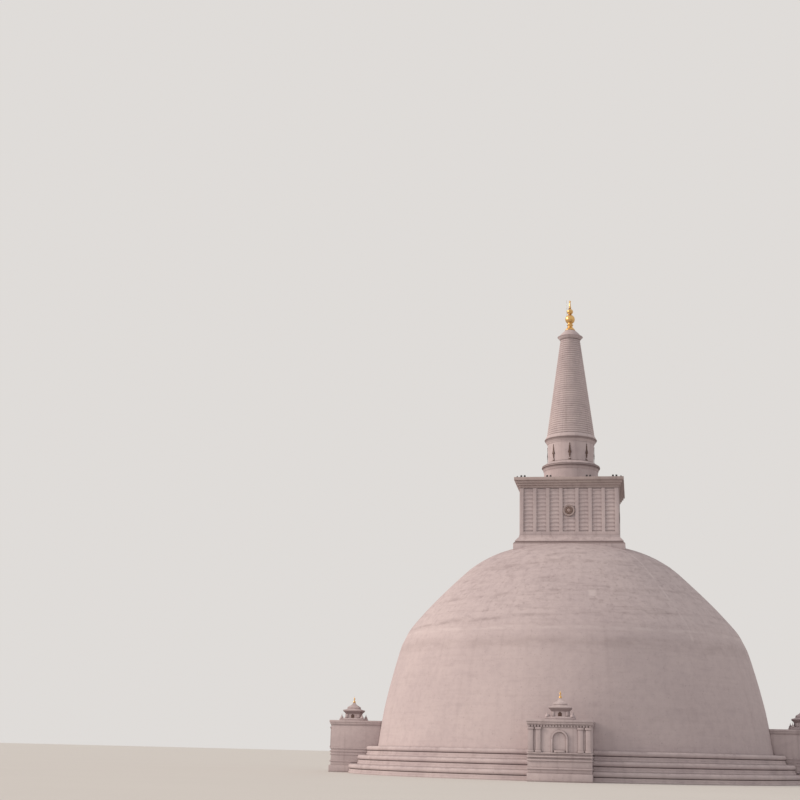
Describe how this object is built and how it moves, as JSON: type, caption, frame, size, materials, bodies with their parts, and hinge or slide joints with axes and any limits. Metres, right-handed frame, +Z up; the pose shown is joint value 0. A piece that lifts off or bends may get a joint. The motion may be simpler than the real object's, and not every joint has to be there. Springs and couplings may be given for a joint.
{
  "type": "stupa, 1:10 scale model",
  "caption": "Scale model of a great whitewashed bubble-dome stupa: stepped round base, square chamber, drum with standing figures, ringed spire and gilded pinnacle.",
  "frame": {"origin": "centre of the lowest ring's underside, on the ground", "axes": "+Z up along the stupa's axis, -Y towards the front face, +X towards the side with the line of lamps on the dome"},
  "size_m": [10.05, 10.05, 10.3],
  "materials": {
    "limewash": "aged matt limewash over masonry, with grey weathering",
    "gilding": "weathered gilding",
    "brown_paint": "dark brown matt paint on carved stone",
    "lamp_metal": "dark satin paint"
  },
  "bodies": {
    "root": {"basal_ring_lowest": "limewash", "basal_ring_middle": "limewash", "basal_ring_top": "limewash", "dome": "limewash", "chamber_plinth": "limewash", "chamber_base_moulding": "limewash", "chamber_core": "limewash", "chamber_cornice": "limewash", "drum_base": "limewash", "drum": "limewash", "drum_upper_ring": "limewash", "spire": "limewash", "spire_cap": "limewash", "frontispiece_front_body": "limewash", "frontispiece_front_crown": "limewash", "chamber_rails_front": "limewash", "chamber_pilasters_front": "limewash", "sun_disc_front": "brown_paint", "frontispiece_right_body": "limewash", "frontispiece_right_crown": "limewash", "chamber_rails_right": "limewash", "chamber_pilasters_right": "limewash", "sun_disc_right": "brown_paint", "frontispiece_back_body": "limewash", "frontispiece_back_crown": "limewash", "chamber_rails_back": "limewash", "chamber_pilasters_back": "limewash", "sun_disc_back": "brown_paint", "frontispiece_left_body": "limewash", "frontispiece_left_crown": "limewash", "chamber_rails_left": "limewash", "chamber_pilasters_left": "limewash", "sun_disc_left": "brown_paint", "drum_figure_1": "brown_paint", "drum_figure_2": "brown_paint", "drum_figure_3": "brown_paint", "drum_figure_4": "brown_paint", "drum_figure_5": "brown_paint", "drum_figure_6": "brown_paint", "drum_figure_7": "brown_paint", "drum_figure_8": "brown_paint", "gilded_collar": "gilding", "great_ball": "gilding", "upper_ball": "gilding", "spike": "gilding", "dome_lamp_line": "lamp_metal", "roof_lamps_front": "lamp_metal", "roof_lamps_right": "lamp_metal", "roof_lamps_back": "lamp_metal", "roof_lamps_left": "lamp_metal"}
  },
  "joints": []
}
